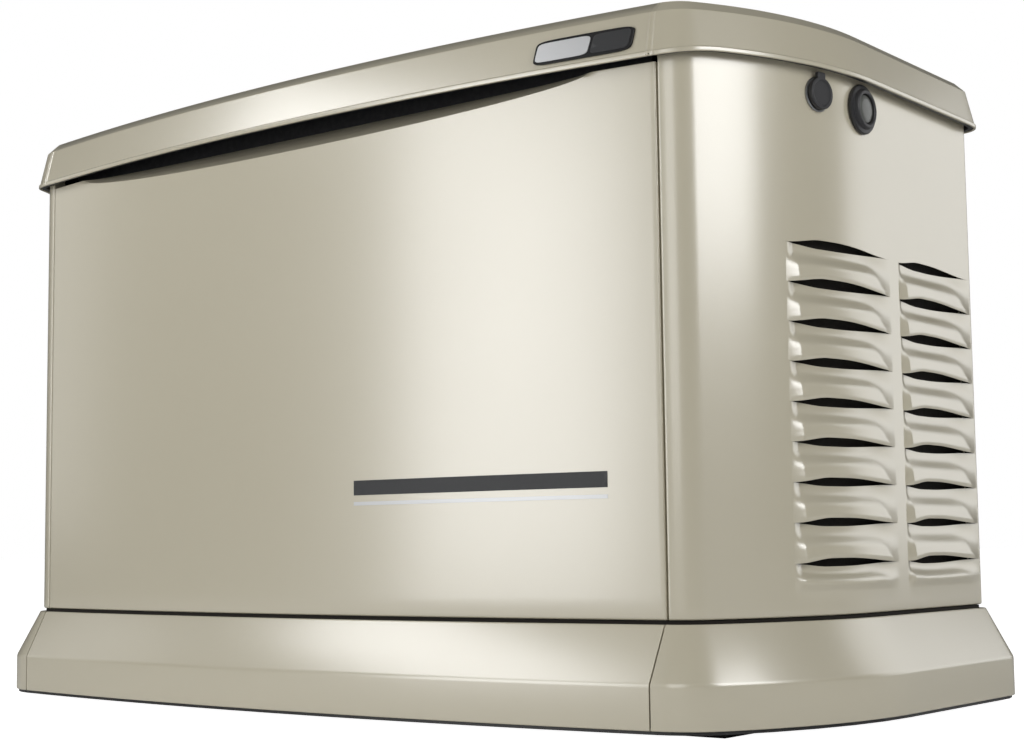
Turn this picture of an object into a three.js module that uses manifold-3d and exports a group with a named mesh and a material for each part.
// Air-cooled home standby generator in its weather enclosure.
// Millimetres, +Z up, front towards -Y, origin on the ground under the middle of the base.
import * as THREE from "three";
import { mergeVertices } from "three/addons/utils/BufferGeometryUtils.js";
import Module from "manifold-3d";

const wasm = await Module();
wasm.setup();

// ---------------------------------------------------------------- driving dimensions
// Enclosure in plan: a bowed front, round front corners, gently bowed ends and a flat rear.
const BODY_HALF_LENGTH = 576;
const BODY_DEPTH = 542;
const FRONT_BOW = 33;
const END_WRAP = 100.5; // how far each end cover reaches round the front corner
const SIDE_RADIUS = 414;
const SIDE_TURN = THREE.MathUtils.degToRad(33); // turned by the bowed end before the corner starts
const REAR_CORNER_RADIUS = 9.5;
const TIGHTEST_RADIUS = 0.5; // inside a corner whose offset passes its centre

// Heights.
const FOOT_HEIGHT = 4.2;
const PAN_FLANGE_TOP = 7.6;
const PAN_FLANGE = 26; // width of the flange inside the pan's wall
const FASCIA_BREAK_Z = 51;
const FASCIA_TOP_Z = 104;
const PANEL_BOTTOM_Z = 110;
const BODY_TOP_Z = 700;
const LIP_Z = 664; // lower edge of the closed lid
const SHOULDER_Z = 716; // where the lid's skirt turns into its roof
const ROOF_TOP_Z = 732;

// Sheet and fit.
const FASCIA_FLARE = 33;
const FASCIA_TOP_OFFSET = 4;
const FASCIA_WALL = 3;
const PANEL_WALL = 2.5;
const PANEL_RETURN = 18;
const LID_WALL = 3;
const LID_OVERHANG = 13.6;
const LIP_RETURN = 8.6;
const SHOULDER_OFFSET = 1;
const GAP = 0.4; // between pieces that rest on each other
const SEAM_GAP = 1.6; // between neighbouring panels
const RUN_CLEARANCE = 1; // round parts that turn or slide

// Front panel's hand scoop along its top edge.
const SCOOP_END_MARGIN = 90.5; // from each end of the front panel
const SCOOP_HEIGHT = 30;
const SCOOP_DEPTH = 42;

// Louvres: two columns of nine on each end.
const LOUVRE_COUNT = 9;
const LOUVRE_PITCH = 40.45;
const LOUVRE_TOP_Z = 491;
const LOUVRE_SLOT = 9;
const LOUVRE_HOOD_HEIGHT = 20;
const LOUVRE_BULGE = 9;
const LOUVRE_LENGTH = 183;
const LOUVRE_REAR_MARGIN = 11;
const LOUVRE_COLUMN_GAP = 21;
const REAR_LOUVRE_COUNT = 5;
const REAR_LOUVRE_LENGTH = 260;
const REAR_LOUVRE_X = 230;

// Lid hinge, side locks and status light.
const HINGE_FROM_END = 196; // from the end of the body to the middle of a hinge
const HINGE_LENGTH = 90;
const KNUCKLE_RADIUS = 6;
const HINGE_PIN_RADIUS = 3;
const LOCK_FROM_FRONT = 193;
const LOCK_Z = 641;
const LOCK_RADIUS = 10;
const LOCK_WALL = 3;
const LOCK_FLANGE = 3.5; // how far the lock's flange reaches past its barrel
const LOCK_PLUG_GAP = 0.3;
const LOCK_CAP_RADIUS = 16;
const LOCK_CAP_FACES = [3, 8]; // back and front of the dust cap, out from the skin
const LOCK_EAR = { width: 12, height: 8, rise: 17 }; // rise is from the lock's middle to the ear's
const LIGHT_FROM_FRONT = 271;
const LIGHT_Z = 636;
const LIGHT_RADIUS = 26;
const LIGHT_LENS_RADIUS = 14.5;

// Engine and alternator on one crank line along X.
const CRANK_Y = 15;
const CRANK_Z = 330;
const SHAFT_RADIUS = 15;
const ENGINE_FROM_DIVIDER = 95;
const ENGINE_LENGTH = 190;
const BLOCK_HALF_WIDTH = 88;
const SUMP_HALF_WIDTH = 80;
const CYLINDER_BASE = 95; // from the crank line
const CYLINDER_LENGTH = 120;
const CYLINDER_WIDTH = 96;
const CYLINDER_STAGGER = 45;
const V_ANGLE = THREE.MathUtils.degToRad(45);
const FIN_COUNT = 7;
const FIN_THICKNESS = 4;
const FIN_REACH = 9;
const BLOWER_LENGTH = 72;
const BLOWER_RADIUS = 138;
const FAN_RADIUS = 112;
const FAN_BLADES = 12;
const STATOR_RADIUS = 125;
const STATOR_LENGTH = 210;
const STATOR_WALL = 40;

// Compartments and what they hold.
const EXHAUST_BAY_LENGTH = 231;
const DIVIDER_WALL = 3;
const DIVIDER_FOOT = 24;
const MUFFLER_RADIUS = 75;
const MUFFLER_LENGTH = 320;
const MUFFLER_Z = 250;
const MUFFLER_FROM_MIDDLE = 5; // towards the engine, from the middle of its bay
const TAIL_RADIUS = 20;
const PIPE_RADIUS = 19;
const PIPE_FROM_CRANK = 185; // each side, where a pipe crosses the divider
const PIPE_Z = 330;
const PIPE_HOLE_CLEARANCE = 6;
const HOSE_RADIUS = 14;
const BATTERY = { width: 173, depth: 206, height: 197, fromBox: 15, y: -172 };
const TRAY_MARGIN = 6;
const CONTROLS = { width: 195, pastSeam: 24.5, front: -185, rear: 40, bottom: 430, top: 655, shelf: 110 };
const CONTROL_WALL = 3;
const BUTTON_RADIUS = 8;
const BUTTON_TRAVEL = 1.5;
const BUTTON_SPACING = 34;
const BUTTON_CLEARANCE = 0.5;
const BREAKER_WIDTH = 75;
const LEVER_LEAN = THREE.MathUtils.degToRad(20);
const LEVER_HUB_RADIUS = 8;
const FUEL_X = 110;
const FUEL_INLET_Z = 190;
const FUEL_PIPE_RADIUS = 14;
const FUEL_HOLE_CLEARANCE = 7;
const REGULATOR = { half: 45, front: 165, rear: 225, low: 470, high: 530 };
const AIR_BOX = { low: 545, high: 622, wall: 4, half: 90, pastEngine: 60 };
const THROAT_RADIUS = 19;
const NECK_Z = 500; // where the mixer meets the air box

// ---------------------------------------------------------------- values that follow
const FRONT_Y = -BODY_DEPTH / 2;
const REAR_Y = BODY_DEPTH / 2;
const SEAM_X = BODY_HALF_LENGTH - END_WRAP;
const LOCK_Y = FRONT_Y + LOCK_FROM_FRONT;
const LIGHT_Y = FRONT_Y + LIGHT_FROM_FRONT;
const FASCIA_BOTTOM_Z = PAN_FLANGE_TOP + GAP;
const FLOOR_Z = FASCIA_TOP_Z - GAP;
const PANEL_TOP_Z = LIP_Z - RUN_CLEARANCE;
const HINGE_Y = REAR_Y + LID_OVERHANG + KNUCKLE_RADIUS + RUN_CLEARANCE;
const HINGE_Z = LIP_Z - KNUCKLE_RADIUS;
const FLOOR_TOP_Z = FLOOR_Z - PANEL_WALL + GAP;
const HINGE_X = BODY_HALF_LENGTH - HINGE_FROM_END;
const SCOOP_HALF_LENGTH = SEAM_X - SCOOP_END_MARGIN;
const RAIL = { y: FRONT_Y + SCOOP_DEPTH + 14, low: PANEL_TOP_Z - 26, half: SEAM_X - 20 };
const EXHAUST_DIVIDER_X = EXHAUST_BAY_LENGTH - BODY_HALF_LENGTH;
const ENGINE_LEFT_X = EXHAUST_DIVIDER_X + ENGINE_FROM_DIVIDER;
const ENGINE_RIGHT_X = ENGINE_LEFT_X + ENGINE_LENGTH;
const MIXER_X = ENGINE_LEFT_X + ENGINE_LENGTH / 2;
const DIPSTICK = { x: ENGINE_RIGHT_X - 14, y: CRANK_Y - 118, top: 425 };
const MUFFLER_X = (EXHAUST_DIVIDER_X - BODY_HALF_LENGTH) / 2 + MUFFLER_FROM_MIDDLE;
const STATOR_LEFT_X = ENGINE_RIGHT_X + GAP;
const STATOR_RIGHT_X = STATOR_LEFT_X + STATOR_LENGTH;
const CONTROL_BOX = {
  ...CONTROLS,
  left: SEAM_X + CONTROLS.pastSeam - CONTROLS.width,
  right: SEAM_X + CONTROLS.pastSeam,
};
const CONTROL_DIVIDER_X = CONTROL_BOX.left - 20;
const BATTERY_X = CONTROL_BOX.left + BATTERY.fromBox;
const FACE = {
  left: CONTROL_BOX.left + 5,
  right: CONTROL_BOX.right - 5,
  bottom: CONTROL_BOX.bottom + CONTROL_BOX.shelf + 6,
  top: CONTROL_BOX.top - 5,
  front: CONTROL_BOX.front - 4,
  rear: CONTROL_BOX.front + 12,
};
const BUTTON_Z = FACE.bottom + 26;
const BREAKER = {
  left: CONTROL_BOX.left + 50,
  right: CONTROL_BOX.left + 50 + BREAKER_WIDTH,
  front: CONTROL_BOX.front + 4,
  rear: CONTROL_BOX.rear - 130,
  bottom: CONTROL_BOX.bottom + CONTROL_WALL + GAP,
  top: CONTROL_BOX.bottom + CONTROL_BOX.shelf - 5,
};
const LEVER = { x: (BREAKER.left + BREAKER.right) / 2, y: BREAKER.front + 12, z: CONTROL_BOX.bottom + 56 };

// ---------------------------------------------------------------- solids
function toSolid(geometry) {
  const bare = (geometry.index ? geometry.toNonIndexed() : geometry.clone());
  bare.deleteAttribute("normal");
  bare.deleteAttribute("uv");
  const merged = mergeVertices(bare, 1e-4);
  return new wasm.Manifold(new wasm.Mesh({
    numProp: 3,
    vertProperties: new Float32Array(merged.attributes.position.array),
    triVerts: new Uint32Array(merged.index.array),
  }));
}

function toGeometry(solid) {
  const mesh = solid.getMesh();
  const geometry = new THREE.BufferGeometry();
  geometry.setAttribute("position", new THREE.BufferAttribute(mesh.vertProperties, 3));
  geometry.setIndex(new THREE.BufferAttribute(mesh.triVerts, 1));
  return geometry;
}

const join = (first, ...rest) => rest.reduce((sum, piece) => sum.add(piece), first);
const cut = (first, ...rest) => rest.reduce((left, piece) => left.subtract(piece), first);

// Box between two corners.
function box(low, high) {
  const size = new THREE.Vector3().subVectors(high, low);
  const geometry = new THREE.BoxGeometry(size.x, size.y, size.z);
  geometry.translate((low.x + high.x) / 2, (low.y + high.y) / 2, (low.z + high.z) / 2);
  return toSolid(geometry);
}
const at = (x, y, z) => new THREE.Vector3(x, y, z);

// Round bar from one point to another.
function bar(from, to, radius, sides = 16, endRadius = radius) {
  const run = new THREE.Vector3().subVectors(to, from);
  const geometry = new THREE.CylinderGeometry(endRadius, radius, run.length(), sides);
  const turn = new THREE.Quaternion().setFromUnitVectors(at(0, 1, 0), run.clone().normalize());
  geometry.applyQuaternion(turn);
  geometry.translate((from.x + to.x) / 2, (from.y + to.y) / 2, (from.z + to.z) / 2);
  return toSolid(geometry);
}

// Round tube along a smooth curve through the points.
function tube(points, radius, steps, sides = 10) {
  const section = new THREE.Shape();
  section.absarc(0, 0, radius, 0, 2 * Math.PI);
  const path = new THREE.CatmullRomCurve3(points);
  return toSolid(new THREE.ExtrudeGeometry(section, {
    steps,
    extrudePath: path,
    curveSegments: sides / 2,
    bevelEnabled: false,
  }));
}

// A closed skin through rings of equal length. A loop of rings closes on itself; otherwise each end
// is closed by a fan to the middle of its ring.
function loft(rings, isLoop) {
  const count = rings[0].length;
  const positions = rings.flat().flatMap((point) => [point.x, point.y, point.z]);
  const index = [];
  const last = isLoop ? rings.length : rings.length - 1;
  for (let r = 0; r < last; r++) {
    const a = r * count;
    const b = ((r + 1) % rings.length) * count;
    for (let i = 0; i < count; i++) {
      const j = (i + 1) % count;
      index.push(a + i, a + j, b + j, a + i, b + j, b + i);
    }
  }
  const closeEnd = (ring, start, flip) => {
    const middle = positions.length / 3;
    const centre = ring.reduce((sum, point) => sum.add(point), at(0, 0, 0)).divideScalar(count);
    positions.push(centre.x, centre.y, centre.z);
    for (let i = 0; i < count; i++) {
      const j = (i + 1) % count;
      index.push(middle, start + (flip ? j : i), start + (flip ? i : j));
    }
  };
  if (!isLoop) {
    closeEnd(rings[0], 0, true);
    closeEnd(rings.at(-1), (rings.length - 1) * count, false);
  }
  const geometry = new THREE.BufferGeometry();
  geometry.setAttribute("position", new THREE.Float32BufferAttribute(positions, 3));
  geometry.setIndex(index);
  return toSolid(geometry);
}

// ---------------------------------------------------------------- plan outline
// Stations along an arc: a point on the skin and the outward direction there.
function arcStations(centreX, centreY, radius, fromAngle, toAngle, steps) {
  const stations = [];
  for (let i = 0; i <= steps; i++) {
    const angle = fromAngle + ((toAngle - fromAngle) * i) / steps;
    const nx = Math.cos(angle);
    const ny = Math.sin(angle);
    stations.push({ x: centreX + radius * nx, y: centreY + radius * ny, nx, ny });
  }
  return stations;
}

const FRONT_RADIUS = (SEAM_X ** 2 + FRONT_BOW ** 2) / (2 * FRONT_BOW);
const frontSkinY = (x) => FRONT_Y + FRONT_RADIUS - Math.sqrt(FRONT_RADIUS ** 2 - x ** 2);

// Right half of the outline, from the middle of the front to the last rear corner station.
function rightStations() {
  const seamTurn = Math.asin(SEAM_X / FRONT_RADIUS);
  const seamAngle = seamTurn - Math.PI / 2;
  const sideReach = SIDE_RADIUS * (1 - Math.cos(SIDE_TURN));
  const cornerRadius = (END_WRAP - sideReach) / (Math.cos(SIDE_TURN) - Math.sin(seamTurn));
  const seamY = FRONT_Y + FRONT_BOW;
  const cornerX = SEAM_X - cornerRadius * Math.cos(seamAngle);
  const cornerY = seamY - cornerRadius * Math.sin(seamAngle);
  const inward = cornerRadius - SIDE_RADIUS;
  const sideX = cornerX + inward * Math.cos(SIDE_TURN);
  const sideY = cornerY - inward * Math.sin(SIDE_TURN);
  const rearX = BODY_HALF_LENGTH - REAR_CORNER_RADIUS;
  const rearY = REAR_Y - REAR_CORNER_RADIUS;
  return [
    ...arcStations(0, FRONT_Y + FRONT_RADIUS, FRONT_RADIUS, -Math.PI / 2, seamAngle, 7),
    ...arcStations(cornerX, cornerY, cornerRadius, seamAngle, -SIDE_TURN, 5).slice(1),
    ...arcStations(sideX, sideY, SIDE_RADIUS, -SIDE_TURN, 0, 5).slice(1),
    ...arcStations(rearX, rearY, REAR_CORNER_RADIUS, 0, Math.PI / 2, 3)
      .map((station) => ({ ...station, radius: REAR_CORNER_RADIUS })),
  ];
}

const RIGHT = rightStations();
const LEFT = RIGHT.slice(1).reverse().map((station) => ({ ...station, x: -station.x, nx: -station.nx }));
const OUTLINE = [...RIGHT, ...LEFT];

// A station's point moved out by an offset. Where a square rear corner is moved in past its centre,
// the rest of the way is along the corner's diagonal.
function offsetPoint({ x, y, nx, ny, radius = Infinity }, offset) {
  const past = Math.min(0, radius + offset - TIGHTEST_RADIUS);
  const along = offset - past;
  return [x + nx * along + Math.sign(x) * past, y + ny * along + past];
}

const ring = (offset, z, scale = 1) => OUTLINE.map((station) => {
  const [x, y] = offsetPoint(station, offset);
  return at(x * scale, y * scale, z);
});

// A band that follows the whole outline: a closed section of [offset from the skin, height].
const band = (section) => loft(section.map(([offset, z]) => ring(offset, z)), true);

// A plate filling the outline between two heights.
const plate = (offset, low, high) => loft([ring(offset, low), ring(offset, high)], false);

// The right-hand skin's station at a depth y, between the bowed end's own stations.
function skinAt(y) {
  const end = RIGHT.filter((station) => station.nx > 0.7);
  const next = end.findIndex((station) => station.y >= y);
  const [a, b] = [end[next - 1], end[next]];
  const t = (y - a.y) / (b.y - a.y);
  const mix = (key) => a[key] + (b[key] - a[key]) * t;
  const normal = new THREE.Vector2(mix("nx"), mix("ny")).normalize();
  return { x: mix("x"), y, nx: normal.x, ny: normal.y };
}

const FAR = 2000; // larger than the object, for cutting boxes
const THROUGH = 20; // how far a hole's cutter reaches past a sheet on both sides
const slab = (x0, x1, y0 = -FAR, y1 = FAR) => box(at(x0, y0, -FAR), at(x1, y1, FAR));
const mirrorX = (solid) => solid.mirror([1, 0, 0]);

// ---------------------------------------------------------------- base
function basePan() {
  const wall = [-12, -9];
  const frame = band([
    [FASCIA_FLARE - FASCIA_WALL, FOOT_HEIGHT + GAP],
    [FASCIA_FLARE - FASCIA_WALL, PAN_FLANGE_TOP],
    [wall[1], PAN_FLANGE_TOP],
    [wall[1], FLOOR_Z],
    [wall[0], FLOOR_Z],
    [wall[0], PAN_FLANGE_TOP],
    [wall[0] - PAN_FLANGE, PAN_FLANGE_TOP],
    [wall[0] - PAN_FLANGE, FOOT_HEIGHT + GAP],
  ]);
  const floorHigh = FLOOR_Z - PANEL_WALL;
  const floor = plate(-10, floorHigh - PANEL_WALL, floorHigh);
  const airHole = box(at(ENGINE_LEFT_X + 30, -70, floorHigh - 20), at(ENGINE_RIGHT_X - 20, 90, floorHigh + 20));
  return cut(join(frame, floor), airHole);
}

function foot(x, y) {
  return box(at(x - 42, y - 32, 0), at(x + 42, y + 32, FOOT_HEIGHT));
}

function fasciaRing() {
  const wall = FASCIA_WALL;
  return band([
    [FASCIA_FLARE, FASCIA_BOTTOM_Z],
    [FASCIA_FLARE, FASCIA_BREAK_Z],
    [FASCIA_FLARE - wall, FASCIA_BREAK_Z + wall],
    [FASCIA_TOP_OFFSET, FASCIA_TOP_Z],
    [FASCIA_TOP_OFFSET - wall, FASCIA_TOP_Z],
    [FASCIA_TOP_OFFSET - wall, FASCIA_TOP_Z - wall],
    [FASCIA_FLARE - 2 * wall, FASCIA_BREAK_Z],
    [FASCIA_FLARE - wall, FASCIA_BREAK_Z - wall],
    [FASCIA_FLARE - wall, FASCIA_BOTTOM_Z],
  ]);
}

// ---------------------------------------------------------------- shell
// Skin ring with a return along its bottom edge.
function shellRing(topZ) {
  return band([
    [0, PANEL_BOTTOM_Z],
    [0, topZ],
    [-PANEL_WALL, topZ],
    [-PANEL_WALL, PANEL_BOTTOM_Z + PANEL_WALL],
    [-PANEL_RETURN, PANEL_BOTTOM_Z + PANEL_WALL],
    [-PANEL_RETURN, PANEL_BOTTOM_Z],
  ]);
}

// Both columns' y ranges.
const LOUVRE_COLUMNS = [0, 1].map((column) => {
  const high = REAR_Y - LOUVRE_REAR_MARGIN - column * (LOUVRE_LENGTH + LOUVRE_COLUMN_GAP);
  return [high - LOUVRE_LENGTH, high];
});

// Plan strip along the bowed end between two depths, swelling outwards with sloped ends.
function hoodShape([low, high]) {
  const stops = [0, 0.18, 0.82, 1];
  const outer = stops.map((t) => {
    const skin = skinAt(low + (high - low) * t);
    const swell = t === 0 || t === 1 ? 0 : LOUVRE_BULGE;
    return new THREE.Vector2(skin.x + skin.nx * swell, skin.y + skin.ny * swell);
  });
  const inner = stops.map((t) => {
    const skin = skinAt(low + (high - low) * t);
    return new THREE.Vector2(skin.x - skin.nx * PANEL_WALL / 2, skin.y - skin.ny * PANEL_WALL / 2);
  });
  return new THREE.Shape([...outer, ...inner.reverse()]);
}

function louvreHood(column, z) {
  const geometry = new THREE.ExtrudeGeometry(hoodShape(column), {
    depth: LOUVRE_HOOD_HEIGHT,
    bevelEnabled: false,
  });
  geometry.translate(0, 0, z);
  return toSolid(geometry);
}

function endCoverRight() {
  let cover = shellRing(BODY_TOP_Z)
    .intersect(slab(SEAM_X, FAR, -FAR, REAR_Y - PANEL_WALL - SEAM_GAP));
  const lock = skinAt(LOCK_Y);
  for (const column of LOUVRE_COLUMNS) {
    for (let row = 0; row < LOUVRE_COUNT; row++) {
      const top = LOUVRE_TOP_Z - row * LOUVRE_PITCH;
      const slot = box(at(SEAM_X, column[0] + 8, top - LOUVRE_SLOT), at(FAR, column[1] - 8, top));
      const hood = louvreHood(column, top - LOUVRE_PITCH + 8);
      cover = join(cut(cover, slot), hood);
    }
  }
  return cut(cover, bar(...lockLine(lock, -30, 30), LOCK_RADIUS + GAP));
}

// Two points on the line through the lock, along the skin's outward direction.
function lockLine(skin, inner, outer) {
  return [inner, outer].map((offset) => at(skin.x + skin.nx * offset, skin.y + skin.ny * offset, LOCK_Z));
}

function rearPanel() {
  let panel = shellRing(BODY_TOP_Z).intersect(slab(-FAR, FAR, REAR_Y - PANEL_WALL, FAR));
  for (const side of [-1, 1]) {
    for (let row = 0; row < REAR_LOUVRE_COUNT; row++) {
      const top = LOUVRE_TOP_Z - row * LOUVRE_PITCH;
      const middle = side * REAR_LOUVRE_X;
      const half = REAR_LOUVRE_LENGTH / 2;
      const slot = box(
        at(middle - half, REAR_Y - THROUGH, top - LOUVRE_SLOT),
        at(middle + half, REAR_Y + THROUGH, top),
      );
      panel = cut(panel, slot);
    }
  }
  const fuelHole = bar(
    at(FUEL_X, REAR_Y - THROUGH, FUEL_INLET_Z),
    at(FUEL_X, REAR_Y + THROUGH, FUEL_INLET_Z),
    FUEL_PIPE_RADIUS + FUEL_HOLE_CLEARANCE,
  );
  return join(cut(panel, fuelHole), hingeFixedLeaf(-HINGE_X), hingeFixedLeaf(HINGE_X));
}

// How far the front panel is pushed in at a place: a long shallow scoop along the top edge.
function scoopDepth(x, z) {
  const across = 1 - (x / SCOOP_HALF_LENGTH) ** 2;
  if (across <= 0) {
    return 0;
  }
  const lowEdge = PANEL_TOP_Z - SCOOP_HEIGHT * Math.sqrt(across);
  const rise = THREE.MathUtils.clamp((z - lowEdge) / SCOOP_HEIGHT, 0, 1);
  return SCOOP_DEPTH * Math.sqrt(across) * rise * rise;
}

function frontPanel() {
  const half = SEAM_X - SEAM_GAP;
  const columns = 20;
  const heights = [PANEL_BOTTOM_Z, PANEL_TOP_Z - SCOOP_HEIGHT * 1.1];
  for (let i = 1; i <= 4; i++) {
    heights.push(PANEL_TOP_Z - SCOOP_HEIGHT * (1 - i / 4));
  }
  const skin = (x, z) => frontSkinY(x) + scoopDepth(x, z);
  // Each ring runs up the outside and down the inside at one x.
  const rings = [];
  for (let c = 0; c <= columns; c++) {
    const x = half - (2 * half * c) / columns;
    const outside = heights.map((z) => at(x, skin(x, z), z));
    const inside = heights.map((z) => at(x, skin(x, z) + PANEL_WALL, z)).reverse();
    rings.push([...outside, ...inside]);
  }
  const sheet = loft(rings, false);
  const bottomReturn = band([
    [-PANEL_WALL / 2, PANEL_BOTTOM_Z],
    [-PANEL_WALL / 2, PANEL_BOTTOM_Z + PANEL_WALL],
    [-PANEL_RETURN, PANEL_BOTTOM_Z + PANEL_WALL],
    [-PANEL_RETURN, PANEL_BOTTOM_Z],
  ]).intersect(slab(-half, half, -FAR, 0));
  const sideReturns = [-1, 1].map((side) => {
    const x = side * (half - PANEL_WALL);
    const y = frontSkinY(half) + 1;
    return box(
      at(Math.min(x, side * half), y, PANEL_BOTTOM_Z),
      at(Math.max(x, side * half), y + PANEL_RETURN, PANEL_TOP_Z),
    );
  });
  return join(sheet, bottomReturn, ...sideReturns);
}

// ---------------------------------------------------------------- lid
function lidShell() {
  const innerShoulder = SHOULDER_OFFSET - LID_WALL;
  const roofEdge = { offset: -8, z: SHOULDER_Z + 4.5 };
  const crown = (scale, drop) => ring(
    roofEdge.offset,
    roofEdge.z + (ROOF_TOP_Z - roofEdge.z) * (1 - scale ** 2) - drop,
    scale,
  );
  const scales = [0.8, 0.55, 0.25];
  return loft([
    ...scales.toReversed().map((scale) => crown(scale, LID_WALL)),
    ring(roofEdge.offset - 2, roofEdge.z - LID_WALL),
    ring(innerShoulder, SHOULDER_Z - 2),
    ring(LID_OVERHANG - LID_WALL, LIP_Z + LID_WALL + 1),
    ring(LID_OVERHANG - LIP_RETURN, LIP_Z + LID_WALL),
    ring(LID_OVERHANG - LIP_RETURN, LIP_Z),
    ring(LID_OVERHANG, LIP_Z),
    ring(LID_OVERHANG, LIP_Z + 4),
    ring(SHOULDER_OFFSET, SHOULDER_Z),
    ring(roofEdge.offset, roofEdge.z),
    ...scales.map((scale) => crown(scale, 0)),
  ], false);
}

function lidBadge() {
  const top = SHOULDER_Z - 14;
  const low = top - 26;
  const lean = 3;
  const left = SEAM_X - 134.5;
  const width = 113;
  const face = (offset) => {
    const skin = (x, z) => {
      const slope = (SHOULDER_Z - z) / (SHOULDER_Z - LIP_Z - 4);
      return frontSkinY(x) - SHOULDER_OFFSET - (LID_OVERHANG - SHOULDER_OFFSET) * slope - offset;
    };
    const corners = [[left, low], [left + width, low], [left + width + lean, top], [left + lean, top]];
    return corners.map(([x, z]) => at(x, skin(x, z), z));
  };
  return loft([face(GAP + 1.6), face(4.6)], false);
}

// Fixed half of a lid hinge, welded to the rear panel: a leaf and two knuckles.
function hingeFixedLeaf(middleX) {
  const third = HINGE_LENGTH / 3;
  const leafY = [REAR_Y - 1, REAR_Y + 3];
  const leaf = box(
    at(middleX - HINGE_LENGTH / 2, leafY[0], HINGE_Z - 44),
    at(middleX + HINGE_LENGTH / 2, leafY[1], HINGE_Z - 10),
  );
  const pieces = [-1, 1].flatMap((side) => {
    const low = middleX + side * third - third / 2 + GAP;
    const high = middleX + side * third + third / 2 - GAP;
    return [
      box(at(low, leafY[0], HINGE_Z - 12), at(high, HINGE_Y - 4, HINGE_Z - 8))
        .add(box(at(low, HINGE_Y - 6, HINGE_Z - 12), at(high, HINGE_Y - 2, HINGE_Z))),
      bar(at(low, HINGE_Y, HINGE_Z), at(high, HINGE_Y, HINGE_Z), KNUCKLE_RADIUS),
    ];
  });
  const pinHole = bar(
    at(middleX - HINGE_LENGTH, HINGE_Y, HINGE_Z),
    at(middleX + HINGE_LENGTH, HINGE_Y, HINGE_Z),
    HINGE_PIN_RADIUS + 0.5,
  );
  return cut(join(leaf, ...pieces), pinHole);
}

// Moving half: the middle knuckle, its pin and a tongue up the back of the lid's skirt.
function hingeLidLeaf(middleX) {
  const half = HINGE_LENGTH / 6 - GAP;
  const tongueY = [REAR_Y + LID_OVERHANG + GAP, REAR_Y + LID_OVERHANG + GAP + 3];
  return join(
    bar(at(middleX - half, HINGE_Y, HINGE_Z), at(middleX + half, HINGE_Y, HINGE_Z), KNUCKLE_RADIUS),
    bar(
      at(middleX - HINGE_LENGTH / 2 - 3, HINGE_Y, HINGE_Z),
      at(middleX + HINGE_LENGTH / 2 + 3, HINGE_Y, HINGE_Z),
      HINGE_PIN_RADIUS,
      16,
    ),
    box(at(middleX - half, tongueY[0], HINGE_Z), at(middleX + half, tongueY[1], LIP_Z + 22)),
    box(at(middleX - half, tongueY[0], HINGE_Z), at(middleX + half, HINGE_Y, HINGE_Z + KNUCKLE_RADIUS)),
  );
}

// ---------------------------------------------------------------- side locks and status light
function lockBody() {
  const skin = skinAt(LOCK_Y);
  const flange = bar(...lockLine(skin, GAP, 2.4), LOCK_RADIUS + LOCK_FLANGE, 20);
  const barrel = bar(...lockLine(skin, -22, 2), LOCK_RADIUS, 20);
  return cut(join(flange, barrel), bar(...lockLine(skin, -40, 24), LOCK_RADIUS - LOCK_WALL, 20));
}

function lockPlug() {
  const skin = skinAt(LOCK_Y);
  const plug = bar(...lockLine(skin, -26, 1.6), LOCK_RADIUS - LOCK_WALL - LOCK_PLUG_GAP, 20);
  const cam = new THREE.BoxGeometry(3, 14, 34);
  cam.translate(-24.5, 0, 10);
  cam.rotateZ(Math.atan2(skin.ny, skin.nx));
  cam.translate(skin.x, skin.y, LOCK_Z);
  const keySlot = new THREE.BoxGeometry(3, 1.6, 8);
  keySlot.translate(1.2, 0, 0);
  keySlot.rotateZ(Math.atan2(skin.ny, skin.nx));
  keySlot.translate(skin.x, skin.y, LOCK_Z);
  return cut(join(plug, toSolid(cam)), toSolid(keySlot));
}

// Round dust cap over the lock, on an ear that flips up about a level pin.
function lockCap() {
  const skin = skinAt(LOCK_Y);
  const [back, front] = LOCK_CAP_FACES;
  const disc = bar(...lockLine(skin, back, front), LOCK_CAP_RADIUS, 20);
  const ear = new THREE.BoxGeometry(front - back, LOCK_EAR.width, LOCK_EAR.height);
  ear.translate((back + front) / 2, 0, LOCK_EAR.rise);
  ear.rotateZ(Math.atan2(skin.ny, skin.nx));
  ear.translate(skin.x, skin.y, LOCK_Z);
  return join(disc, toSolid(ear));
}

function statusBezel() {
  const skin = skinAt(LIGHT_Y);
  const line = (inner, outer) => [inner, outer].map(
    (offset) => at(skin.x + skin.nx * offset, skin.y + skin.ny * offset, LIGHT_Z),
  );
  const foot = bar(...line(GAP, 5), LIGHT_RADIUS, 24);
  const step = bar(...line(4, 9), LIGHT_RADIUS - 4, 24, LIGHT_RADIUS - 7);
  return cut(join(foot, step), bar(...line(2.5, 20), LIGHT_LENS_RADIUS + GAP, 24));
}

function statusLens() {
  const skin = skinAt(LIGHT_Y);
  const place = (offset) => at(skin.x + skin.nx * offset, skin.y + skin.ny * offset, LIGHT_Z);
  return bar(place(3), place(7), LIGHT_LENS_RADIUS, 20, LIGHT_LENS_RADIUS - 1.5);
}

// ---------------------------------------------------------------- engine
const crankLine = (x0, x1) => [at(x0, CRANK_Y, CRANK_Z), at(x1, CRANK_Y, CRANK_Z)];

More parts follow.
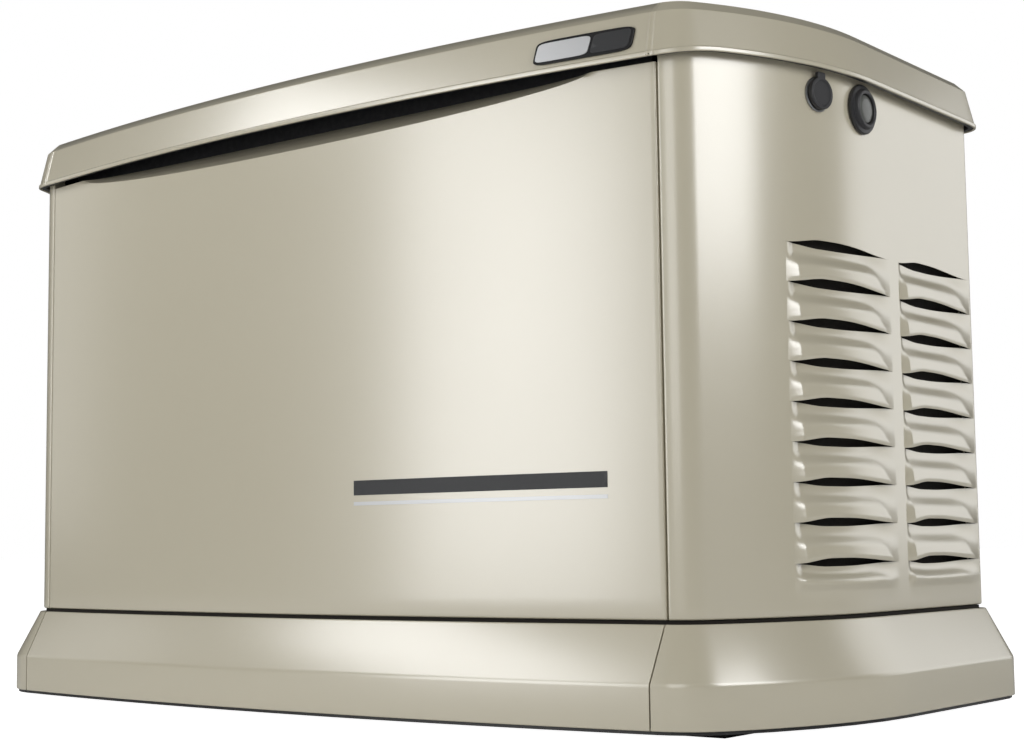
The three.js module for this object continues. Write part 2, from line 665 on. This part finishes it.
function crankcase() {
  const block = box(
    at(ENGINE_LEFT_X, CRANK_Y - BLOCK_HALF_WIDTH, CRANK_Z - 60),
    at(ENGINE_RIGHT_X, CRANK_Y + BLOCK_HALF_WIDTH, CRANK_Z + 62),
  );
  const sump = box(
    at(ENGINE_LEFT_X + 6, CRANK_Y - SUMP_HALF_WIDTH, FLOOR_TOP_Z + 40),
    at(ENGINE_RIGHT_X - 6, CRANK_Y + SUMP_HALF_WIDTH, CRANK_Z - 50),
  );
  const footPair = (low, high) => [-1, 1].map((side) => box(
    at(low, CRANK_Y + side * SUMP_HALF_WIDTH - 12, FLOOR_TOP_Z),
    at(high, CRANK_Y + side * SUMP_HALF_WIDTH + 12, FLOOR_TOP_Z + 60),
  ));
  const feet = [
    ...footPair(ENGINE_LEFT_X + 20, ENGINE_LEFT_X + 50),
    ...footPair(ENGINE_RIGHT_X - 34, ENGINE_RIGHT_X - 14),
  ];
  const dipstickTube = join(
    bar(at(DIPSTICK.x, DIPSTICK.y, CRANK_Z - 30), at(DIPSTICK.x, DIPSTICK.y, DIPSTICK.top), 8, 16),
    box(at(DIPSTICK.x - 12, DIPSTICK.y - 12, CRANK_Z - 46), at(DIPSTICK.x + 12,
        CRANK_Y - SUMP_HALF_WIDTH, CRANK_Z - 20)),
  );
  const bore = bar(at(DIPSTICK.x, DIPSTICK.y, CRANK_Z - 40), at(DIPSTICK.x, DIPSTICK.y, FAR), 4.5, 16);
  const head = (side) => cylinderBox(side, CYLINDER_WIDTH / 2 + 2, CYLINDER_BASE - 30, CYLINDER_BASE - GAP);
  const crankBore = bar(...crankLine(-FAR, FAR), SHAFT_RADIUS + RUN_CLEARANCE, 24);
  const seat = (side) => cylinderBox(
    side,
    CYLINDER_WIDTH / 2 + GAP,
    CYLINDER_BASE - GAP / 2,
    CYLINDER_BASE + CYLINDER_LENGTH,
  );
  const whole = join(block, sump, ...feet, head(-1), head(1), dipstickTube);
  return cut(whole, bore, crankBore, seat(-1), seat(1));
}

// A block along one cylinder's line: half width, and how far it runs from the crank line.
function cylinderBox(side, half, low, high, halfX = half) {
  const geometry = new THREE.BoxGeometry(2 * halfX, 2 * half, high - low);
  geometry.translate(0, 0, (low + high) / 2);
  geometry.rotateX(-side * V_ANGLE);
  const middle = ENGINE_LEFT_X + ENGINE_LENGTH / 2 - side * CYLINDER_STAGGER / 2;
  geometry.translate(middle, CRANK_Y, CRANK_Z);
  return toSolid(geometry);
}

function cylinder(side) {
  const top = CYLINDER_BASE + CYLINDER_LENGTH;
  const barrel = cylinderBox(side, CYLINDER_WIDTH / 2 - FIN_REACH, CYLINDER_BASE, top);
  const fins = [];
  const pitch = (CYLINDER_LENGTH - FIN_THICKNESS) / (FIN_COUNT - 1);
  for (let i = 0; i < FIN_COUNT; i++) {
    const low = CYLINDER_BASE + i * pitch;
    fins.push(cylinderBox(side, CYLINDER_WIDTH / 2, low, low + FIN_THICKNESS));
  }
  return join(barrel, ...fins);
}

function valveCover(side) {
  const low = CYLINDER_BASE + CYLINDER_LENGTH + GAP;
  return join(
    cylinderBox(side, CYLINDER_WIDTH / 2, low, low + 8),
    cylinderBox(side, CYLINDER_WIDTH / 2 - 7, low + 4, low + 26),
  );
}

function oilFillCap() {
  const low = CYLINDER_BASE + CYLINDER_LENGTH + GAP + 26 + GAP;
  const geometry = new THREE.CylinderGeometry(17, 19, 14, 12);
  geometry.rotateX(Math.PI / 2);
  geometry.translate(0, 0, low + 7);
  const grip = new THREE.BoxGeometry(30, 6, 8);
  grip.translate(0, 0, low + 17);
  const place = (piece) => {
    piece.rotateX(V_ANGLE);
    piece.translate(ENGINE_LEFT_X + ENGINE_LENGTH / 2 + CYLINDER_STAGGER / 2, CRANK_Y, CRANK_Z);
    return toSolid(piece);
  };
  return join(place(geometry), place(grip));
}

function blowerHousing() {
  const left = ENGINE_LEFT_X - GAP - BLOWER_LENGTH;
  const right = ENGINE_LEFT_X - GAP;
  const shell = bar(...crankLine(left, right), BLOWER_RADIUS, 24);
  const duct = box(at(left, CRANK_Y - 110, CRANK_Z), at(right, CRANK_Y + 110, CRANK_Z + BLOWER_RADIUS + 20));
  const room = bar(...crankLine(left + 5, right - 5), FAN_RADIUS + 8, 24);
  const inlet = bar(...crankLine(left - 10, left + 10), FAN_RADIUS - 20, 24);
  const shaft = bar(...crankLine(-FAR, FAR), SHAFT_RADIUS + RUN_CLEARANCE, 24);
  return cut(join(shell, duct), room, inlet, shaft);
}

function flywheelFan() {
  const left = ENGINE_LEFT_X - GAP - BLOWER_LENGTH + 12;
  const disc = bar(...crankLine(ENGINE_LEFT_X - 26, ENGINE_LEFT_X - 14), FAN_RADIUS, 24);
  const hub = bar(...crankLine(left, ENGINE_LEFT_X - 20), 34, 24);
  const blades = [];
  for (let i = 0; i < FAN_BLADES; i++) {
    const blade = new THREE.BoxGeometry(30, 3, FAN_RADIUS - 44);
    blade.translate(ENGINE_LEFT_X - 38, 0, 42 + (FAN_RADIUS - 44) / 2);
    blade.rotateX((2 * Math.PI * i) / FAN_BLADES);
    blade.translate(0, CRANK_Y, CRANK_Z);
    blades.push(toSolid(blade));
  }
  const shaft = bar(...crankLine(-FAR, FAR), SHAFT_RADIUS + GAP, 24);
  return cut(join(disc, hub, ...blades), shaft);
}

function crankshaftAndRotor() {
  const shaft = bar(...crankLine(ENGINE_LEFT_X - BLOWER_LENGTH + 6, STATOR_RIGHT_X + 8), SHAFT_RADIUS, 24);
  const rotor = bar(
    ...crankLine(STATOR_LEFT_X + 22, STATOR_RIGHT_X - 22),
    STATOR_RADIUS - STATOR_WALL - 2 * RUN_CLEARANCE,
    28,
  );
  return join(shaft, rotor);
}

function stator() {
  const can = bar(...crankLine(STATOR_LEFT_X, STATOR_RIGHT_X), STATOR_RADIUS, 24);
  const bore = bar(...crankLine(STATOR_LEFT_X + 14, FAR), STATOR_RADIUS - STATOR_WALL, 24);
  const shaft = bar(...crankLine(-FAR, FAR), SHAFT_RADIUS + RUN_CLEARANCE, 24);
  const foot = box(
    at(STATOR_RIGHT_X - 60, CRANK_Y - 90, FLOOR_TOP_Z),
    at(STATOR_RIGHT_X - 30, CRANK_Y + 90, CRANK_Z - 90),
  );
  return cut(join(can, foot), bore, shaft);
}

function endBell() {
  const left = STATOR_RIGHT_X + GAP;
  const bell = bar(...crankLine(left, left + 34), STATOR_RADIUS - 2, 24, STATOR_RADIUS - 30);
  const room = bar(...crankLine(left - 1, left + 26), STATOR_RADIUS - STATOR_WALL, 24);
  const vents = [];
  for (let i = 0; i < 8; i++) {
    const vent = new THREE.BoxGeometry(40, 26, 22);
    vent.translate(left + 30, 0, 62);
    vent.rotateX((2 * Math.PI * i) / 8);
    vent.translate(0, CRANK_Y, CRANK_Z);
    vents.push(toSolid(vent));
  }
  return cut(bell, room, ...vents);
}

function airBox() {
  const { low, high, wall, half, pastEngine } = AIR_BOX;
  const right = ENGINE_RIGHT_X + pastEngine;
  const body = box(at(ENGINE_LEFT_X, CRANK_Y - half, low), at(right, CRANK_Y + half, high));
  const inside = box(
    at(ENGINE_LEFT_X + wall, CRANK_Y - half + wall, low + wall),
    at(right - wall, CRANK_Y + half - wall, FAR),
  );
  const neck = bar(at(MIXER_X, CRANK_Y, NECK_Z), at(MIXER_X, CRANK_Y, low + wall + 3), THROAT_RADIUS + 5, 24);
  const throat = bar(at(MIXER_X, CRANK_Y, NECK_Z - 10), at(MIXER_X, CRANK_Y, low + 15), THROAT_RADIUS, 24);
  return cut(join(cut(body, inside), neck), throat);
}

function airBoxCover() {
  const low = AIR_BOX.high + GAP;
  const right = ENGINE_RIGHT_X + AIR_BOX.pastEngine;
  const rim = AIR_BOX.half + AIR_BOX.wall;
  const crown = AIR_BOX.half - 16;
  return join(
    box(at(ENGINE_LEFT_X - AIR_BOX.wall, CRANK_Y - rim, low), at(right + AIR_BOX.wall, CRANK_Y + rim, low + 6)),
    box(at(ENGINE_LEFT_X + 14, CRANK_Y - crown, low + 4), at(right - 14, CRANK_Y + crown, low + 14)),
  );
}

function mixer() {
  const low = at(MIXER_X, CRANK_Y, CRANK_Z + 106);
  const body = bar(low, at(MIXER_X, CRANK_Y, NECK_Z - GAP), THROAT_RADIUS + 3, 24);
  const port = bar(at(MIXER_X, CRANK_Y, NECK_Z - 30), at(MIXER_X + 44, CRANK_Y, NECK_Z - 30), 11, 16);
  return join(body, port);
}

function oilFilter() {
  const y = CRANK_Y - BLOCK_HALF_WIDTH - GAP;
  const x = ENGINE_LEFT_X + 60;
  return join(
    bar(at(x, y, CRANK_Z - 90 + 60), at(x, y - 84, CRANK_Z - 30), 36, 20),
    bar(at(x, y - 80, CRANK_Z - 30), at(x, y - 92, CRANK_Z - 30), 33, 14),
  );
}

function starterMotor() {
  const y = CRANK_Y + BLOCK_HALF_WIDTH + 40;
  return join(
    bar(at(ENGINE_LEFT_X + 20, y, CRANK_Z - 20), at(ENGINE_LEFT_X + 150, y, CRANK_Z - 20), 36, 20),
    bar(at(ENGINE_LEFT_X + 4, y, CRANK_Z - 20), at(ENGINE_LEFT_X + 22, y, CRANK_Z - 20), 22, 20),
  );
}

function muffler() {
  const y = [CRANK_Y - MUFFLER_LENGTH / 2, CRANK_Y + MUFFLER_LENGTH / 2];
  const x = MUFFLER_X;
  const can = bar(at(x, y[0], MUFFLER_Z), at(x, y[1], MUFFLER_Z), MUFFLER_RADIUS, 20);
  const rims = y.map((end) => bar(at(x, end - 5, MUFFLER_Z), at(x, end + 5, MUFFLER_Z),
      MUFFLER_RADIUS + 4, 20));
  const tailY = y[1] - 60;
  const tail = bar(at(x, tailY, MUFFLER_Z), at(x - 92, tailY, MUFFLER_Z), TAIL_RADIUS, 20);
  const bore = bar(at(x - 60, tailY, MUFFLER_Z), at(x - 100, tailY, MUFFLER_Z), TAIL_RADIUS - 3, 20);
  const stand = [y[0] + 30, y[1] - 40].map((end) => box(
    at(x - 50, end - 8, FLOOR_TOP_Z),
    at(x + 50, end + 8, MUFFLER_Z - MUFFLER_RADIUS + 30),
  ));
  return cut(join(can, ...rims, tail, ...stand), bore);
}

// One exhaust pipe from a cylinder's outer face, through the divider, to the muffler's end.
function exhaustPipe(side) {
  const y = CRANK_Y + side * PIPE_FROM_CRANK;
  const muzzle = CRANK_Y + side * (MUFFLER_LENGTH / 2 - 50);
  const head = ENGINE_LEFT_X + (ENGINE_LENGTH - CYLINDER_WIDTH) / 2 - side * CYLINDER_STAGGER / 2;
  const port = Math.sin(V_ANGLE) * (CYLINDER_BASE + CYLINDER_LENGTH * 0.8);
  return tube([
    at(head - 1.5, CRANK_Y + side * port, CRANK_Z + port),
    at(head - 25, CRANK_Y + side * port, CRANK_Z + port),
    at(ENGINE_LEFT_X - 40, y - side * 14, PIPE_Z + 90),
    at(EXHAUST_DIVIDER_X + 25, y, PIPE_Z),
    at(EXHAUST_DIVIDER_X - 15, y, PIPE_Z),
    at(MUFFLER_X + 30, muzzle + side * 12, MUFFLER_Z + MUFFLER_RADIUS + 62),
    at(MUFFLER_X, muzzle, MUFFLER_Z + MUFFLER_RADIUS + 40),
    at(MUFFLER_X, muzzle, MUFFLER_Z + MUFFLER_RADIUS + 2),
  ], PIPE_RADIUS, 20, 10);
}

function exhaustDivider() {
  const x = EXHAUST_DIVIDER_X;
  const wall = crossWall(x, DIVIDER_WALL);
  const holes = [-1, 1].map((side) => bar(
    at(x - 20, CRANK_Y + side * PIPE_FROM_CRANK, PIPE_Z),
    at(x + 20, CRANK_Y + side * PIPE_FROM_CRANK, PIPE_Z),
    PIPE_RADIUS + PIPE_HOLE_CLEARANCE,
  ));
  return cut(wall, ...holes);
}

// A cross wall at one x that fits the shell from front to rear.
function crossWall(x, wall) {
  const frontY = FRONT_Y + FRONT_BOW + 10;
  const rearY = REAR_Y - PANEL_RETURN - 2;
  const sheet = join(
    box(at(x, frontY, FLOOR_TOP_Z), at(x + wall, rearY, BODY_TOP_Z - 8)),
    box(at(x, frontY, FLOOR_TOP_Z), at(x + DIVIDER_FOOT, rearY, FLOOR_TOP_Z + wall)),
  );
  const railNotch = box(at(-FAR, -FAR, RAIL.low - GAP), at(FAR, RAIL.y + PANEL_WALL + GAP, FAR));
  return cut(sheet, railNotch);
}

// Rail across the top of the front opening, just behind the scoop.
function topFrontRail() {
  const web = box(at(-RAIL.half, RAIL.y, RAIL.low), at(RAIL.half, RAIL.y + PANEL_WALL, BODY_TOP_Z));
  const lip = box(at(-RAIL.half, RAIL.y, BODY_TOP_Z - 3), at(RAIL.half, RAIL.y + 26, BODY_TOP_Z));
  return join(web, lip);
}

// ---------------------------------------------------------------- controls and services
function batteryTray() {
  const low = at(BATTERY_X - TRAY_MARGIN, BATTERY.y - TRAY_MARGIN, FLOOR_TOP_Z);
  const high = at(
    BATTERY_X + BATTERY.width + TRAY_MARGIN,
    BATTERY.y + BATTERY.depth + TRAY_MARGIN,
    FLOOR_TOP_Z + 22,
  );
  const inside = box(at(low.x + 3, low.y + 3, low.z + 3), at(high.x - 3, high.y - 3, FAR));
  return cut(box(low, high), inside);
}

function battery() {
  const low = at(BATTERY_X, BATTERY.y, FLOOR_TOP_Z + 3 + GAP);
  const high = at(low.x + BATTERY.width, low.y + BATTERY.depth, low.z + BATTERY.height - 14);
  const posts = [-1, 1].map((side) => {
    const x = (low.x + high.x) / 2 + side * 58;
    return bar(at(x, low.y + 30, high.z - 1), at(x, low.y + 30, high.z + 17), 9, 16, 8);
  });
  return join(box(low, high), ...posts);
}

function controlBox() {
  const { left, right, front, rear, bottom, top } = CONTROL_BOX;
  const shell = box(at(left, front, bottom), at(right, rear, top));
  const wall = CONTROL_WALL;
  const inside = box(at(left + wall, front - 5, bottom + wall), at(right - wall, rear - wall, top - wall));
  const shelf = box(
    at(left + 1, front, bottom + CONTROL_BOX.shelf),
    at(right - 1, rear - 1, bottom + CONTROL_BOX.shelf + wall),
  );
  return join(cut(shell, inside), shelf);
}

const buttonX = (index) => FACE.left + 60 + index * BUTTON_SPACING;

function controllerFace() {
  const plateBody = box(at(FACE.left, FACE.front, FACE.bottom), at(FACE.right, FACE.rear, FACE.top));
  const windowCut = box(
    at(FACE.left + 40, FACE.front - 5, FACE.bottom + 52),
    at(FACE.right - 40, FACE.front + 3, FACE.top - 14),
  );
  const holes = [0, 1, 2].map((i) => bar(
    at(buttonX(i), FACE.front - 5, BUTTON_Z),
    at(buttonX(i), FACE.front + 8, BUTTON_Z),
    BUTTON_RADIUS + BUTTON_CLEARANCE,
  ));
  return cut(plateBody, windowCut, ...holes);
}

function button(index) {
  return bar(
    at(buttonX(index), FACE.front - 2.5, BUTTON_Z),
    at(buttonX(index), FACE.front + 8 - BUTTON_TRAVEL - GAP, BUTTON_Z),
    BUTTON_RADIUS,
    24,
  );
}

function mainBreaker() {
  const { left, right, front, rear, bottom, top } = BREAKER;
  const body = box(at(left, front, bottom), at(right, rear, top));
  const slot = box(at(LEVER.x - 13, front - 5, LEVER.z - 26), at(LEVER.x + 13, LEVER.y + 16, LEVER.z + 26));
  return cut(body, slot);
}

function breakerLever() {
  const hub = bar(at(LEVER.x - 12, LEVER.y, LEVER.z), at(LEVER.x + 12, LEVER.y, LEVER.z), LEVER_HUB_RADIUS, 20);
  const grip = new THREE.BoxGeometry(18, 34, 9);
  grip.translate(0, -17, 0);
  grip.rotateX(-LEVER_LEAN);
  grip.translate(LEVER.x, LEVER.y, LEVER.z);
  return join(hub, toSolid(grip));
}

function fuelRegulator() {
  const { half, front, rear, low, high } = REGULATOR;
  const body = box(at(FUEL_X - half, front, low), at(FUEL_X + half, rear, high));
  const domeY = rear - 25;
  const dome = bar(at(FUEL_X, domeY, high - 1), at(FUEL_X, domeY, high + 22), half - 3, 20, half - 15);
  const middle = (low + high) / 2;
  const nippleY = rear - 30;
  const nipple = bar(at(FUEL_X - half + 5, nippleY, middle), at(FUEL_X - half - 17, nippleY, middle), 11, 16);
  return join(body, dome, nipple);
}

function fuelHose() {
  return tube([
    at(FUEL_X - REGULATOR.half - 18, REGULATOR.rear - 30, (REGULATOR.low + REGULATOR.high) / 2),
    at(FUEL_X - REGULATOR.half - 45, REGULATOR.rear - 30, (REGULATOR.low + REGULATOR.high) / 2),
    at(FUEL_X - 130, REGULATOR.front - 15, 494),
    at(MIXER_X + 93, CRANK_Y + 45, 474),
    at(MIXER_X + 66, CRANK_Y, NECK_Z - 30),
    at(MIXER_X + 46, CRANK_Y, NECK_Z - 30),
  ], HOSE_RADIUS, 16, 8);
}

function fuelInlet() {
  const y = REGULATOR.rear - 25;
  const z = FUEL_INLET_Z;
  const radius = FUEL_PIPE_RADIUS;
  const riser = bar(at(FUEL_X, y, REGULATOR.low - GAP), at(FUEL_X, y, z - radius), radius, 20);
  const outlet = bar(at(FUEL_X, y - 10, z), at(FUEL_X, REAR_Y + 22, z), radius, 20);
  const elbow = bar(at(FUEL_X, y, z - radius - 4), at(FUEL_X, y, z + radius + 4), radius + 6, 20);
  const collar = bar(at(FUEL_X, REAR_Y + 8, z), at(FUEL_X, REAR_Y + 24, z), radius + 5, 6);
  const bore = bar(at(FUEL_X, y + 5, z), at(FUEL_X, FAR, z), radius - 4, 20);
  return cut(join(riser, outlet, elbow, collar), bore);
}

function dipstick() {
  const { x, y, top } = DIPSTICK;
  return join(
    bar(at(x, y, CRANK_Z - 28), at(x, y, top + 12), 3, 12),
    bar(at(x, y, top + GAP), at(x, y, top + 16), 8, 16),
    box(at(x - 3, y - 16, top + 14), at(x + 3, y + 16, top + 30)),
  );
}

// ---------------------------------------------------------------- finishes
const finish = (color, roughness, metalness = 0) => () => new THREE.MeshStandardMaterial({
  color,
  roughness,
  metalness,
});
const bisque = finish(0xcdc3ad, 0.45);
const blackSteel = finish(0x17181a, 0.55, 0.2);
const blackPlastic = finish(0x1b1c1d, 0.6);
const galvanized = finish(0xa7abab, 0.45, 0.9);
const castAluminium = finish(0xa9abad, 0.5, 0.9);
const steel = finish(0x8d9094, 0.35, 1);
const hotSteel = finish(0x8c8378, 0.5, 0.9);
const rubber = finish(0x141414, 0.8);
const darkPaint = finish(0x2a2c2e, 0.5, 0.1);
const redPlastic = finish(0xa8201a, 0.45);
const yellowPlastic = finish(0xd9a21b, 0.5);
const lensPlastic = finish(0xb9bdbb, 0.15);

// ---------------------------------------------------------------- assembly
const generator = new THREE.Group();

function add(name, solid, material, parent = generator) {
  const mesh = new THREE.Mesh(toGeometry(solid), material());
  mesh.name = name;
  parent.add(mesh);
  return mesh;
}

add("base_pan", basePan(), blackSteel);
const footX = BODY_HALF_LENGTH - 90;
const footY = BODY_DEPTH / 2 - 50;
add("foot_front_right", foot(footX, -footY + 30), rubber);
add("foot_front_left", foot(-footX, -footY + 30), rubber);
add("foot_rear_right", foot(footX, footY), rubber);
add("foot_rear_left", foot(-footX, footY), rubber);

const fascia = fasciaRing();
const seam = SEAM_GAP / 2;
add("fascia_front", fascia.intersect(slab(-SEAM_X + seam, SEAM_X - seam, -FAR, 0)), bisque);
add("fascia_rear", fascia.intersect(slab(-SEAM_X + seam, SEAM_X - seam, 0, FAR)), bisque);
add("fascia_right", fascia.intersect(slab(SEAM_X + seam, FAR)), bisque);
add("fascia_left", fascia.intersect(slab(-FAR, -SEAM_X - seam)), bisque);

const endRight = endCoverRight();
add("end_cover_right", endRight, bisque);
add("end_cover_left", mirrorX(endRight), bisque);
add("rear_panel", rearPanel(), bisque);
add("front_panel", frontPanel(), bisque);
add("top_front_rail", topFrontRail(), darkPaint);
add("exhaust_divider", exhaustDivider(), galvanized);
add("control_divider", crossWall(CONTROL_DIVIDER_X, DIVIDER_WALL), galvanized);

add("lid", lidShell(), bisque);
add("lid_badge", lidBadge(), blackPlastic);
for (const [side, x] of [["left", -HINGE_X], ["right", HINGE_X]]) {
  add(`lid_hinge_leaf_${side}`, hingeLidLeaf(x), steel);
}

const lockPieces = [
  ["lock_body", lockBody(), steel],
  ["lock_plug", lockPlug(), steel],
  ["lock_cap", lockCap(), blackPlastic],
];
for (const [name, solid, material] of lockPieces) {
  add(`${name}_right`, solid, material);
  add(`${name}_left`, mirrorX(solid), material);
}
add("status_light_bezel", statusBezel(), blackPlastic);
add("status_light_lens", statusLens(), lensPlastic);

add("crankcase", crankcase(), castAluminium);
add("cylinder_front", cylinder(-1), castAluminium);
add("cylinder_rear", cylinder(1), castAluminium);
add("valve_cover_front", valveCover(-1), blackSteel);
add("valve_cover_rear", valveCover(1), blackSteel);
add("oil_fill_cap", oilFillCap(), yellowPlastic);
add("blower_housing", blowerHousing(), blackSteel);
add("flywheel_fan", flywheelFan(), blackPlastic);
add("crankshaft_rotor", crankshaftAndRotor(), steel);
add("stator", stator(), darkPaint);
add("end_bell", endBell(), castAluminium);
add("air_box", airBox(), blackPlastic);
add("air_box_cover", airBoxCover(), blackPlastic);
add("mixer", mixer(), castAluminium);
add("oil_filter", oilFilter(), redPlastic);
add("starter_motor", starterMotor(), blackSteel);
add("muffler", muffler(), hotSteel);
add("exhaust_pipe_front", exhaustPipe(-1), hotSteel);
add("exhaust_pipe_rear", exhaustPipe(1), hotSteel);
add("dipstick", dipstick(), yellowPlastic);

add("battery_tray", batteryTray(), blackPlastic);
add("battery", battery(), blackPlastic);
add("control_box", controlBox(), galvanized);
add("controller_face", controllerFace(), darkPaint);
["auto", "off", "manual"].forEach((name, index) => add(`button_${name}`, button(index), rubber));
add("main_breaker", mainBreaker(), blackPlastic);
add("breaker_lever", breakerLever(), blackPlastic);
add("fuel_regulator", fuelRegulator(), castAluminium);
add("fuel_hose", fuelHose(), rubber);
add("fuel_inlet", fuelInlet(), steel);

export default generator;
